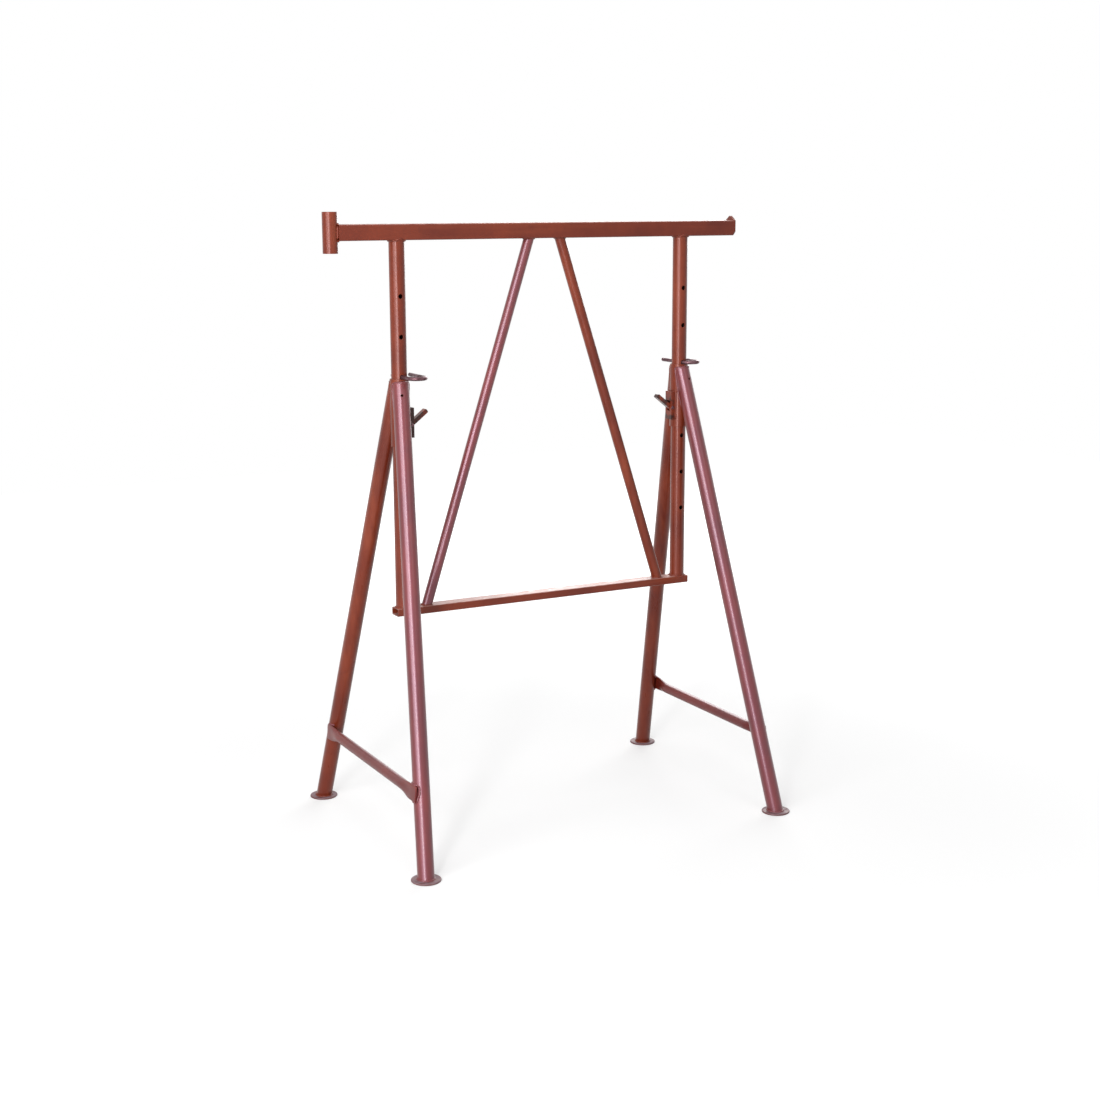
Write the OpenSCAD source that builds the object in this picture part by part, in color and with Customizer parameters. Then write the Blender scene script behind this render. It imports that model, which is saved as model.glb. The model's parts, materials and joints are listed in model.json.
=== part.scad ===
// Builders trestle. A welded upper frame of square and round tube has two posts, and each
// post stands in the sleeve of a splayed tube stand. A loose loop pin through a hole in the
// post rests on the rim of the sleeve and sets the height. A small lever on each sleeve grips
// the post. Sizes are in millimetres, +Z is up and the floor is at Z = 0.

/* [Beam] */
// Length of the square top beam
beam_length = 1140; // [1000:10:1500]
// Side of the beam's square section
beam_side = 40; // [40:1:60]
// Wall of the beam
beam_wall = 2.5; // [2:0.1:3.5]
// Outside corner radius of the beam
beam_corner = 4; // [4:0.5:6]
// Outside diameter of the guard-rail socket on the beam's left end
socket_d = 38; // [36:0.5:48]
// Bore of the guard-rail socket
socket_bore = 34; // [30:0.1:34]
// Length of the guard-rail socket
socket_length = 100; // [60:5:160]
// Thickness of the stop plate on the beam's right end
stop_thick = 6; // [4:0.5:10]
// Height of the stop plate's peak over the beam
stop_rise = 12; // [8:1:25]

/* [Posts and braces] */
// Distance between the two post axes
post_spacing = 825; // [700:5:900]
// Outside diameter of the posts
post_d = 40; // [36:0.5:40]
// Wall of the posts
post_wall = 2.5; // [2:0.1:4]
// Length of the posts, from the bottom tie to the beam
post_length = 930; // [900:5:1000]
// Diameter of the height holes through the posts
hole_d = 12; // [12:0.5:14]
// Number of height holes in each post
hole_count = 7; // [5:1:7]
// Distance between neighbouring height holes
hole_pitch = 100; // [80:5:100]
// Drop from the beam to the first height hole
first_hole_drop = 137; // [80:1:150]
// Hole that the pins are in, counted from the top
pin_hole = 3; // [1:1:5]
// Outside diameter of the diagonal braces
brace_d = 26.9; // [21.3:0.1:33.7]
// Wall of the braces
brace_wall = 2.3; // [2:0.1:3]
// Distance between the brace axes under the beam
brace_top_gap = 90; // [60:5:200]
// Distance from each post axis to the brace axis on the bottom tie
brace_foot_gap = 65; // [60:1:120]
// Width of the bottom tie
tie_width = 40; // [40:1:50]
// Height of the bottom tie
tie_height = 20; // [15:1:40]
// Wall of the bottom tie
tie_wall = 2; // [1.5:0.1:3]
// Reach of the bottom tie past each post axis
tie_overhang = 24; // [22:1:40]

/* [Stands] */
// Height of the sleeve's rim over the floor
stand_height = 1189; // [1150:1:1300]
// Outside diameter of the sleeve
sleeve_d = 48.3; // [47:0.1:50]
// Bore of the sleeve
sleeve_bore = 41.9; // [41:0.1:42.5]
// Length of the sleeve
sleeve_length = 170; // [160:5:190]
// Outside diameter of the legs
leg_d = 42.4; // [38:0.1:44.5]
// Wall of the legs
leg_wall = 2.6; // [2:0.1:4]
// Distance from the post axis to a foot, across the beam
foot_reach = 352; // [300:1:420]
// Distance that the feet splay outwards, along the beam
foot_splay = 104; // [60:1:130]
// Offset of the leg axes from the post axis at the sleeve's rim
leg_head_offset = 7; // [5:0.5:10]
// Drop from the sleeve's rim to the cut tops of the legs
leg_top_drop = 8; // [4:1:12]
// Diameter of the foot plates
foot_d = 75; // [65:1:90]
// Thickness of the foot plates
foot_thick = 5; // [4:0.5:8]
// Outside diameter of the cross ties
cross_d = 26.9; // [21.3:0.1:30]
// Overall length of the cross ties
cross_length = 600; // [590:1:620]
// Height of the cross ties over the floor
cross_height = 204; // [195:1:215]

/* [Pins and levers] */
// Diameter of the loop pin's rod
pin_d = 10; // [8:0.5:11]
// Overall length of the loop pin
pin_length = 130; // [125:1:140]
// Distance between the two legs of the loop pin
pin_span = 45; // [40:1:50]
// How far the left pin's nose stands out in front of the post axis
left_pin_nose = 85; // [60:1:85]
// How far the right pin's nose stands out in front of the post axis
right_pin_nose = 45; // [45:1:85]
// Angle of the grip lever over the horizontal
lever_angle = 38; // [36:1:42]
// Length of the grip lever's handle from its pivot
lever_length = 56; // [48:1:64]
// Height of the lever bracket
bracket_height = 76; // [74:1:84]

/* [Hidden] */
$fn = 64;

left = -1;
right = 1;
front = -1;
rear = 1;
paint = "#8c4638";
steel = "#8d8683";
dusty_paint = "#8a6f74";

// Room added to a cutting shape so that it passes right through
through = 1;
// Side of the slabs that cut slanted tubes off level
slab = 3000;
// Turn of a slanted tube about its own axis
seam_turn = 90;

// Heights of the upper frame, which hangs on the pins
pin_gap = 0.3;
pin_z = stand_height + pin_d / 2 + pin_gap;
first_hole_z = pin_z + (pin_hole - 1) * hole_pitch;
beam_under = first_hole_z + first_hole_drop;
beam_mid = beam_under + beam_side / 2;
tie_top = beam_under - post_length;

// Reach of the beam with its socket and its stop, which sets the middle of the whole box
socket_seat = 3;
socket_x = -beam_length / 2 - socket_d / 2 + socket_seat;
left_reach = socket_d / 2 - socket_x;
right_reach = beam_length / 2 + stop_thick;
frame_mid = (left_reach - right_reach) / 2;

// Outline of the stop plate
stop_chamfer = 8;
stop_low_gap = 2;
stop_peak = 6;

// Corner radius of the bottom tie
tie_corner = 3;

// Ends of a brace's axis, drawn for the right-hand brace
brace_high = [brace_top_gap / 2, 0, beam_under];
brace_low = [post_spacing / 2 - brace_foot_gap, 0, tie_top];

// Ends of a leg's axis in its stand's own frame, which has the post axis at the origin and
// +X towards the other stand; way is -1 or 1, along the frame's Y
function leg_foot(way) = [-foot_splay, way * foot_reach, 0];
function leg_head(way) = [0, way * leg_head_offset, stand_height];

// Vent hole near the top of each leg
vent_d = 7;
vent_drop = 38;

// Cross tie: plane of the leg axes, flattened ends, set out from the tube's axis, and the
// seat they are cut to; the tie reaches further past its frame's front leg than the rear one
splay_angle = atan2(foot_splay, stand_height);
cross_share = cross_height / stand_height;
cross_x = -foot_splay * (1 - cross_share);
cross_leg_y = foot_reach + (leg_head_offset - foot_reach) * cross_share;
cross_flat = 5;
cross_paddle_w = 41;
cross_seat = 1.5;
cross_set_out = 6;
cross_out = leg_d / 2 - cross_seat + cross_flat / 2 - cross_set_out;
cross_shift = 9;
cross_flat_from = cross_leg_y - 18;
cross_round_to = cross_leg_y - 90;
cross_slice = 0.5;

// Lever bracket, pivot and lever on the inner side of the sleeve
bracket_drop = 73;
bracket_w = 30;
bracket_plate = 6;
bracket_web = 3.5;
bracket_face = 32.5;
bracket_high = stand_height - bracket_drop;
bracket_low = bracket_high - bracket_height;
pivot_x = 27.5;
pivot_z = bracket_low + 32;
pivot_d = 6;
pivot_head_d = 10;
pivot_head_h = 2.5;
pivot_clearance = 0.05;
hub_d = 12;
lever_w = 16;
lever_thick = 11;
lever_post_gap = 0.5;
lever_tip_r = 3;
slot_below = 9;
slot_above = 19;
window_below = 19;
window_above = 10;

// Loop pin
pin_tip = 2;
pin_return_short = 6;

// Rectangle with round corners, centred
module rounded_outline(w, h, r) {
    square([w - 2 * r, h], center = true);
    square([w, h - 2 * r], center = true);
    for (x = [-1, 1], y = [-1, 1])
        translate([x * (w / 2 - r), y * (h / 2 - r)])
            circle(r = r);
}

// Square or rectangular tube along X, centred
module box_tube(length, w, h, r, wall) {
    rotate([90, 0, 90])
        linear_extrude(length, center = true)
            difference() {
                rounded_outline(w, h, r);
                rounded_outline(w - 2 * wall, h - 2 * wall, r - wall);
            }
}

// Upright round tube, standing on the XY plane
module round_tube(outer_d, inner_d, length) {
    difference() {
        cylinder(d = outer_d, h = length);
        translate([0, 0, -through])
            cylinder(d = inner_d, h = length + 2 * through);
    }
}

// Lays the children's Z axis along the line from a to b, starting at a, with their X axis,
// where a tube has its seam, turned to one side
module along_line(a, b) {
    v = b - a;
    translate(a)
        rotate([0, acos(v.z / norm(v)), atan2(v.y, v.x)])
            rotate([0, 0, seam_turn])
                children();
}

// Round tube whose axis runs from a to b and one diameter past both
module slanted_tube(a, b, outer_d, wall) {
    along_line(a, b)
        translate([0, 0, -outer_d])
            round_tube(outer_d, outer_d - 2 * wall, norm(b - a) + 2 * outer_d);
}

// Keeps the children between two levels
module cut_level(low, high) {
    intersection() {
        children();
        translate([-slab / 2, -slab / 2, low])
            cube([slab, slab, high - low]);
    }
}

// Moves the children to a post's axis
module at_post(side) {
    translate([frame_mid + side * post_spacing / 2, 0, 0])
        children();
}

// Moves a stand's own frame to its post, with +X towards the other stand
module at_stand(side) {
    at_post(side)
        rotate([0, 0, side == left ? 0 : 180])
            children();
}

// Beam with its left end cut to seat the socket
module top_beam() {
    color(paint)
        translate([frame_mid, 0, beam_mid])
            difference() {
                box_tube(beam_length, beam_side, beam_side, beam_corner, beam_wall);
                translate([socket_x, 0, -beam_side])
                    cylinder(d = socket_d, h = 2 * beam_side);
            }
}

// Upright socket for a guard-rail post
module guardrail_socket() {
    color(paint)
        translate([frame_mid + socket_x, 0, beam_mid - socket_length / 2])
            round_tube(socket_d, socket_bore, socket_length);
}

// Plate that closes the beam's right end and stops the boards with its peak
module end_stop() {
    half = beam_side / 2;
    low = stop_low_gap - half;
    color(paint)
        translate([frame_mid + beam_length / 2, 0, beam_mid])
            rotate([90, 0, 90])
                linear_extrude(stop_thick)
                    polygon([
                        [stop_chamfer - half, low],
                        [half - stop_chamfer, low],
                        [half, low + stop_chamfer],
                        [half, half],
                        [stop_peak / 2, half + stop_rise],
                        [-stop_peak / 2, half + stop_rise],
                        [-half, half],
                        [-half, low + stop_chamfer]
                    ]);
}

// Post with its row of height holes
module post(side) {
    color(paint)
        at_post(side)
            difference() {
                translate([0, 0, tie_top])
                    round_tube(post_d, post_d - 2 * post_wall, post_length);
                for (i = [0 : hole_count - 1])
                    translate([0, 0, first_hole_z - i * hole_pitch])
                        rotate([90, 0, 0])
                            cylinder(d = hole_d, h = post_d + 2 * through, center = true);
            }
}

// Diagonal brace from the middle of the beam to the foot of a post
module brace(side) {
    color(paint)
        translate([frame_mid, 0, 0])
            cut_level(tie_top, beam_under)
                mirror([side == left ? 1 : 0, 0, 0])
                    slanted_tube(brace_low, brace_high, brace_d, brace_wall);
}

// Flat tube that joins the feet of the posts
module bottom_tie() {
    color(paint)
        translate([frame_mid, 0, tie_top - tie_height / 2])
            box_tube(post_spacing + 2 * tie_overhang, tie_width, tie_height, tie_corner, tie_wall);
}

// Sleeve with the window that the grip lever works through
module sleeve(side) {
    color(paint)
        at_stand(side)
            difference() {
                translate([0, 0, stand_height - sleeve_length])
                    round_tube(sleeve_d, sleeve_bore, sleeve_length);
                translate([0, bracket_plate - bracket_w / 2, pivot_z - window_below])
                    cube([sleeve_d, bracket_w - 2 * bracket_plate, window_below + window_above]);
            }
}

// Leg saddle-cut to the sleeve, with its drilled vent
module leg(side, way) {
    own_way = side == left ? way : -way;
    foot = leg_foot(own_way);
    head = leg_head(own_way);
    vent_share = 1 - vent_drop / stand_height;
    color(paint)
        at_stand(side)
            difference() {
                cut_level(foot_thick, stand_height - leg_top_drop)
                    slanted_tube(foot, head, leg_d, leg_wall);
                translate([0, 0, stand_height - 2 * sleeve_length])
                    cylinder(d = sleeve_d, h = 2 * sleeve_length);
                translate(foot + vent_share * (head - foot))
                    rotate([0, 90, atan2(foot.y, foot.x)])
                        cylinder(d = vent_d, h = leg_d);
            }
}

// Round foot plate with a rolled edge
module foot_plate(side, way) {
    color(dusty_paint)
        at_post(side)
            translate([side * foot_splay, way * foot_reach, 0])
                rotate_extrude() {
                    square([(foot_d - foot_thick) / 2, foot_thick]);
                    translate([(foot_d - foot_thick) / 2, foot_thick / 2])
                        intersection() {
                            circle(d = foot_thick);
                            translate([0, -foot_thick])
                                square(2 * foot_thick);
                        }
                }
}

// Slice of the cross tie's flattened end, across the tube's axis
module paddle_slice() {
    rounded = cross_flat / 2 - cross_slice;
    linear_extrude(cross_slice)
        rounded_outline(cross_flat, cross_paddle_w, rounded);
}

// Half of a cross tie: round tube, pressed flat and set out towards its end
module cross_tie_half(end) {
    cylinder(d = cross_d, h = cross_round_to);
    hull() {
        translate([0, 0, cross_round_to])
            cylinder(d = cross_d, h = cross_slice, $fn = 32);
        translate([-cross_set_out, 0, cross_flat_from])
            paddle_slice($fn = 16);
    }
    hull() {
        translate([-cross_set_out, 0, cross_flat_from])
            paddle_slice($fn = 16);
        translate([-cross_set_out, 0, end - cross_slice])
            paddle_slice($fn = 16);
    }
}

// Cross tie on the outer side of a stand's legs, its ends cut to seat on them
module cross_tie(side) {
    color(paint)
        at_stand(side)
            difference() {
                translate([cross_x, 0, cross_height])
                    rotate([0, splay_angle, 0])
                        translate([-cross_out, 0, 0])
                            for (way = [front, rear])
                                rotate([-90 * way, 0, 0])
                                    cross_tie_half(cross_length / 2 - way * cross_shift);
                for (way = [front, rear])
                    along_line(leg_foot(way), leg_head(way))
                        cylinder(d = leg_d, h = stand_height);
            }
}

// Open-backed channel welded on the sleeve, slotted for the lever
module lever_bracket(side) {
    inner_w = bracket_w - 2 * bracket_plate;
    color(paint)
        at_stand(side)
            difference() {
                translate([0, -bracket_w / 2, bracket_low])
                    cube([bracket_face, bracket_w, bracket_height]);
                translate([0, -inner_w / 2, bracket_low - through])
                    cube([bracket_face - bracket_web, inner_w, bracket_height + 2 * through]);
                translate([0, -inner_w / 2, pivot_z - slot_below])
                    cube([bracket_face + through, inner_w, slot_below + slot_above]);
                translate([0, 0, bracket_low - through])
                    cylinder(d = sleeve_d, h = bracket_height + 2 * through);
                translate([pivot_x, 0, pivot_z])
                    rotate([90, 0, 0])
                        cylinder(d = pivot_d, h = 2 * bracket_w, center = true);
            }
}

// Rivet that the lever turns on
module lever_pivot(side) {
    color(steel)
        at_stand(side)
            translate([pivot_x, 0, pivot_z])
                rotate([90, 0, 0]) {
                    cylinder(d = pivot_d, h = bracket_w, center = true);
                    for (way = [0, 180])
                        rotate([way, 0, 0])
                            translate([0, 0, bracket_w / 2])
                                cylinder(d1 = pivot_head_d, d2 = pivot_d, h = pivot_head_h);
                }
}

// Side view of the grip lever about its pivot: hub, handle and a nose cut square to the post
module lever_outline() {
    nose = pivot_x - post_d / 2 - lever_post_gap;
    difference() {
        union() {
            circle(d = hub_d);
            intersection() {
                rotate(lever_angle)
                    translate([lever_length / 2 - hub_d, 0])
                        rounded_outline(lever_length + 2 * hub_d, lever_thick, lever_tip_r);
                translate([-nose, -lever_length])
                    square(2 * lever_length);
            }
        }
        circle(d = pivot_d + 2 * pivot_clearance);
    }
}

// Grip lever, turning on the rivet in its bracket
module lever(side) {
    color(paint)
        at_stand(side)
            translate([pivot_x, 0, pivot_z])
                rotate([90, 0, 0])
                    linear_extrude(lever_w, center = true)
                        lever_outline();
}

// Loop pin: shank through the post, a round nose in front and a leg back beside the post
module loop_pin(side, nose) {
    bend_r = pin_span / 2;
    bend_y = bend_r + pin_d / 2 - nose;
    shank = pin_length - bend_r - pin_d / 2 - pin_tip;
    color(steel)
        at_post(side)
            translate([0, bend_y, pin_z]) {
                rotate([-90, 0, 0]) {
                    cylinder(d = pin_d, h = shank);
                    translate([0, 0, shank])
                        cylinder(d1 = pin_d, d2 = pin_d - 2 * pin_tip, h = pin_tip);
                }
                translate([pin_span, 0, 0])
                    rotate([-90, 0, 0])
                        cylinder(d = pin_d, h = shank - pin_return_short);
                translate([bend_r, 0, 0])
                    rotate([0, 0, 180])
                        rotate_extrude(angle = 180)
                            translate([bend_r, 0])
                                circle(d = pin_d);
            }
}

top_beam();
guardrail_socket();
end_stop();
post(left);  // left_post
post(right);  // right_post
brace(left);  // left_brace
brace(right);  // right_brace
bottom_tie();
sleeve(left);  // left_sleeve
leg(left, front);  // left_front_leg
leg(left, rear);  // left_rear_leg
cross_tie(left);  // left_cross_tie
foot_plate(left, front);  // left_front_foot
foot_plate(left, rear);  // left_rear_foot
lever_bracket(left);  // left_lever_bracket
lever_pivot(left);  // left_lever_pivot
lever(left);  // left_lever
loop_pin(left, left_pin_nose);  // left_pin
sleeve(right);  // right_sleeve
leg(right, front);  // right_front_leg
leg(right, rear);  // right_rear_leg
cross_tie(right);  // right_cross_tie
foot_plate(right, front);  // right_front_foot
foot_plate(right, rear);  // right_rear_foot
lever_bracket(right);  // right_lever_bracket
lever_pivot(right);  // right_lever_pivot
lever(right);  // right_lever
loop_pin(right, right_pin_nose);  // right_pin
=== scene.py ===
"""Finish, welds, pressed ties and studio for the builders trestle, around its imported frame."""

import json
import math

import bmesh
import bpy
from bpy.props import FloatProperty, FloatVectorProperty, PointerProperty
from mathutils import Matrix, Vector, noise


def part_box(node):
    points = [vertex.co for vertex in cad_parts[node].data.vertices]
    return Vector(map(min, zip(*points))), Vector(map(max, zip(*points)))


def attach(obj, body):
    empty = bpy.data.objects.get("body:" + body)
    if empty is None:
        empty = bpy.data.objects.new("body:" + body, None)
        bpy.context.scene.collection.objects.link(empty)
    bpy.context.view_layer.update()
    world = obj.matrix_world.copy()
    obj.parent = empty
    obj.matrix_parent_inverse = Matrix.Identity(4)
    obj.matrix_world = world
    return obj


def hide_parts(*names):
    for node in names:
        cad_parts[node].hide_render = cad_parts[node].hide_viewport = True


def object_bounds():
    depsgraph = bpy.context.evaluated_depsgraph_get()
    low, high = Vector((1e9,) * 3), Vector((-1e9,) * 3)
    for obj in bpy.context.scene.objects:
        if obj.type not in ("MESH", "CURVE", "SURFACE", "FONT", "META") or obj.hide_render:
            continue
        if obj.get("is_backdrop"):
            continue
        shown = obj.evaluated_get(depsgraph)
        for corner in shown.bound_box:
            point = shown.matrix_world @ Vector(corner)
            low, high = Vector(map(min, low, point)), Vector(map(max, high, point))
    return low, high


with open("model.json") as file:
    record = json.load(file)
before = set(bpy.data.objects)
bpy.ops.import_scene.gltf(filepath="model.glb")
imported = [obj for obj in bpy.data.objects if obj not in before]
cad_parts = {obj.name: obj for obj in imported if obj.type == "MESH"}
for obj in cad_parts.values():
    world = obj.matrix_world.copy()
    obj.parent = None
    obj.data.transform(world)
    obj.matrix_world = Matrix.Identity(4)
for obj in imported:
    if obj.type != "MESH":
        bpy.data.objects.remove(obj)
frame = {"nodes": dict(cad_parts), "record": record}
cad_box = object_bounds()

bl_info = {
    "name": "Builders trestle looks",
    "version": (1, 0, 0),
    "blender": (4, 5, 0),
    "location": "View3D > Sidebar > Trestle",
    "description": "Paints the trestle, lays its welds, presses its cross ties and sets the studio",
    "category": "Object",
}

UP = Vector((0, 0, 1))
SIDES = ("left", "right")
WAYS = ("front", "rear")

# Stretch of brush marks and scratches that run along each axis
ALONG_X = (0.06, 1, 1)
ALONG_Y = (1, 0.06, 1)
ALONG_Z = (1, 1, 0.06)

# Share of painted shade, as black blotches, on each side's bracket and lever
PAINTED_SHADE = {"left": (0.9, 0.45), "right": (0.45, 0.6)}

# Form of a weld bead: faces round it, steps along a ripple, and sizes as shares of its radius
BEAD_SIDES = 10
RIPPLE_STEPS = 5
RIPPLE_LOW = 0.90
RIPPLE_RISE = 0.16
WANDER = 0.14
WANDERS_PER_METRE = 160
TIP_AREA = 0.12
TIP_LENGTH = 1.6

# Each lamp's place, its width and height, and the setting that holds its power
LAMPS = {
    "key_lamp": ((-3.3, -3.7, 2.6), (0.5, 2.6), "key"),
    "wide_lamp": ((-4.5, -2.4, 2.4), (2.6, 2.6), "wide_key"),
    "low_lamp": ((-3.1, -3.5, 0.7), (0.9, 1.2), "low_key"),
    "fill_lamp": ((0.9, -4.6, 2.9), (2.2, 2.4), "fill"),
    "back_lamp": ((3.2, 3.3, 2.8), (3.6, 3.2), "back"),
    "top_lamp": ((-0.4, 0.2, 4.6), (3.4, 3.4), "top"),
}


def middle(node):
    """Centre of a CAD node's box."""
    low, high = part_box(node)
    return (low + high) / 2


def reach(node):
    """Half of a CAD node's box, along each axis."""
    low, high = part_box(node)
    return (high - low) / 2


def pieces_of(slot):
    """CAD node objects that the record gives one material slot."""
    rows = frame["record"]["subparts"]
    return [frame["nodes"][row["node"]] for row in rows if row["material_slot"] == slot]


# Settings

class TRESTLE_PG_paint(bpy.types.PropertyGroup):
    """Satin red-oxide primer of the frame, sleeves, rear legs, brackets and levers"""

    primer: FloatVectorProperty(
        name="Primer", description="Main colour of the red-oxide primer",
        subtype="COLOR", size=3, min=0, max=1, default=(0.158, 0.025, 0.009))
    thick: FloatVectorProperty(
        name="Thick coat", description="Colour where the primer lies thick and dark",
        subtype="COLOR", size=3, min=0, max=1, default=(0.092, 0.012, 0.005))
    thin: FloatVectorProperty(
        name="Thin coat", description="Colour where the primer is brushed out thin",
        subtype="COLOR", size=3, min=0, max=1, default=(0.230, 0.047, 0.018))
    dust: FloatVectorProperty(
        name="Dust", description="Pale dust that settles on upper faces",
        subtype="COLOR", size=3, min=0, max=1, default=(0.40, 0.22, 0.19))
    # Near-black colour of the painted shade blotches on the brackets and levers
    painted_shade: FloatVectorProperty(
        name="Grime", description="Black grease round the grip levers",
        subtype="COLOR", size=3, min=0, max=1, default=(0.012, 0.007, 0.006))
    bare: FloatVectorProperty(
        name="Rubbed edge", description="Darkened steel where an edge is rubbed through",
        subtype="COLOR", size=3, min=0, max=1, default=(0.100, 0.042, 0.034))
    sheen: FloatVectorProperty(
        name="Highlight", description="Tint of the paint's highlights",
        subtype="COLOR", size=3, min=0, max=1, default=(1.0, 0.60, 0.58))
    gloss: FloatProperty(
        name="Gloss", description="Strength of the paint's reflections, 0.5 for bare varnish",
        subtype="FACTOR", min=0, max=1, default=0.36)
    roughness: FloatProperty(
        name="Roughness", description="Middle roughness of the paint",
        subtype="FACTOR", min=0.05, max=0.95, default=0.30)
    coat: FloatProperty(
        name="Coat", description="Share of the smooth skin on top of the paint",
        subtype="FACTOR", min=0, max=1, default=0.20)
    coat_roughness: FloatProperty(
        name="Coat roughness", description="Roughness of the smooth skin",
        subtype="FACTOR", min=0.05, max=0.95, default=0.25)
    edge_width: FloatProperty(
        name="Edge width", description="Width of the softened and rubbed edges",
        subtype="DISTANCE", unit="LENGTH", min=0.0002, max=0.005, default=0.0008)


class TRESTLE_PG_highlight_copy(bpy.types.PropertyGroup):
    """Lit copy of the red-oxide primer, darker, glossier and mauve-tinted, that paints the highlight on the
    left brace, front legs and cross ties
    """

    primer: FloatVectorProperty(
        name="Primer", description="Main colour of the red-oxide primer",
        subtype="COLOR", size=3, min=0, max=1, default=(0.118, 0.012, 0.005))
    thick: FloatVectorProperty(
        name="Thick coat", description="Colour where the primer lies thick and dark",
        subtype="COLOR", size=3, min=0, max=1, default=(0.074, 0.008, 0.004))
    thin: FloatVectorProperty(
        name="Thin coat", description="Colour where the primer is brushed out thin",
        subtype="COLOR", size=3, min=0, max=1, default=(0.158, 0.024, 0.011))
    dust: FloatVectorProperty(
        name="Dust", description="Pale dust that settles on upper faces",
        subtype="COLOR", size=3, min=0, max=1, default=(0.30, 0.17, 0.17))
    bare: FloatVectorProperty(
        name="Rubbed edge", description="Darkened steel where an edge is rubbed through",
        subtype="COLOR", size=3, min=0, max=1, default=(0.090, 0.034, 0.030))
    sheen: FloatVectorProperty(
        name="Highlight", description="Tint of the paint's highlights",
        subtype="COLOR", size=3, min=0, max=1, default=(1.0, 0.47, 0.77))
    gloss: FloatProperty(
        name="Gloss", description="Strength of the paint's reflections, 0.5 for bare varnish",
        subtype="FACTOR", min=0, max=1, default=0.66)
    roughness: FloatProperty(
        name="Roughness", description="Middle roughness of the paint",
        subtype="FACTOR", min=0.05, max=0.95, default=0.42)
    coat: FloatProperty(
        name="Coat", description="Share of the smooth skin on top of the paint",
        subtype="FACTOR", min=0, max=1, default=0.80)
    coat_roughness: FloatProperty(
        name="Coat roughness", description="Roughness of the smooth skin",
        subtype="FACTOR", min=0.05, max=0.95, default=0.29)
    edge_width: FloatProperty(
        name="Edge width", description="Width of the softened and rubbed edges",
        subtype="DISTANCE", unit="LENGTH", min=0.0002, max=0.005, default=0.0008)


class TRESTLE_PG_metal(bpy.types.PropertyGroup):
    """Worn steel of the loop pins and rivets, and the foot plates with dust and painted sky reflection on
    top
    """

    steel: FloatVectorProperty(
        name="Steel", description="Worn steel of the pins and rivets",
        subtype="COLOR", size=3, min=0, max=1, default=(0.150, 0.078, 0.090))
    stain: FloatVectorProperty(
        name="Stain", description="Mauve-brown stain left by old primer on the steel",
        subtype="COLOR", size=3, min=0, max=1, default=(0.062, 0.020, 0.026))
    foot: FloatVectorProperty(
        name="Foot plate", description="Scuffed primer of the foot plates",
        subtype="COLOR", size=3, min=0, max=1, default=(0.110, 0.041, 0.047))
    # Also the colour of the painted sky reflection on the foot plates' tops
    site_dust: FloatVectorProperty(
        name="Site dust", description="Grey dust trodden onto the foot plates",
        subtype="COLOR", size=3, min=0, max=1, default=(0.18, 0.120, 0.135))


class TRESTLE_PG_welds(bpy.types.PropertyGroup):
    """Weld beads at every joint of the tubes"""

    bead: FloatProperty(
        name="Bead", description="Radius of a weld bead on the thick tubes",
        subtype="DISTANCE", unit="LENGTH", min=0.001, max=0.006, default=0.0034)
    light_bead: FloatProperty(
        name="Light bead", description="Radius of a weld bead on the thin pieces",
        subtype="DISTANCE", unit="LENGTH", min=0.001, max=0.006, default=0.0026)
    ripple: FloatProperty(
        name="Ripple", description="Distance between the ripples of a bead",
        subtype="DISTANCE", unit="LENGTH", min=0.001, max=0.008, default=0.0034)
    beam_corner: FloatProperty(
        name="Beam corner", description="Corner radius of the square beam",
        subtype="DISTANCE", unit="LENGTH", min=0.001, max=0.01, default=0.004)
    tie_corner: FloatProperty(
        name="Tie corner", description="Corner radius of the bottom tie",
        subtype="DISTANCE", unit="LENGTH", min=0.001, max=0.01, default=0.003)
    head_offset: FloatProperty(
        name="Leg head offset", description="Offset of the leg axes from the post axis at the rim",
        subtype="DISTANCE", unit="LENGTH", min=0.0, max=0.02, default=0.007)
    head_drop: FloatProperty(
        name="Leg head drop", description="Drop from the sleeve's rim to the cut tops of the legs",
        subtype="DISTANCE", unit="LENGTH", min=0.0, max=0.02, default=0.008)


class TRESTLE_PG_ties(bpy.types.PropertyGroup):
    """Cross ties: round tube with both ends pressed flat"""

    diameter: FloatProperty(
        name="Tube diameter", description="Outside diameter of the round middle",
        subtype="DISTANCE", unit="LENGTH", min=0.02, max=0.035, default=0.0269)
    flat_width: FloatProperty(
        name="Flat width", description="Width of a pressed end",
        subtype="DISTANCE", unit="LENGTH", min=0.03, max=0.05, default=0.041)
    flat_thick: FloatProperty(
        name="Flat thickness", description="Thickness of a pressed end",
        subtype="DISTANCE", unit="LENGTH", min=0.004, max=0.01, default=0.005)
    set_out: FloatProperty(
        name="Set out", description="Distance of a pressed end outwards from the tube's axis",
        subtype="DISTANCE", unit="LENGTH", min=0.0, max=0.012, default=0.006)
    flat_from: FloatProperty(
        name="Flat from", description="Distance inside the leg's axis where a tie is quite flat",
        subtype="DISTANCE", unit="LENGTH", min=0.01, max=0.08, default=0.018)
    round_from: FloatProperty(
        name="Round from", description="Distance inside the leg's axis where a tie is round again",
        subtype="DISTANCE", unit="LENGTH", min=0.05, max=0.15, default=0.090)
    # Share of the lit primer copy's shine, its painted highlight, that the ties take
    shine: FloatProperty(
        name="Shine", description="Share of the glossy primer's shine that the ties have",
        subtype="FACTOR", min=0, max=1, default=0.5)


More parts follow.
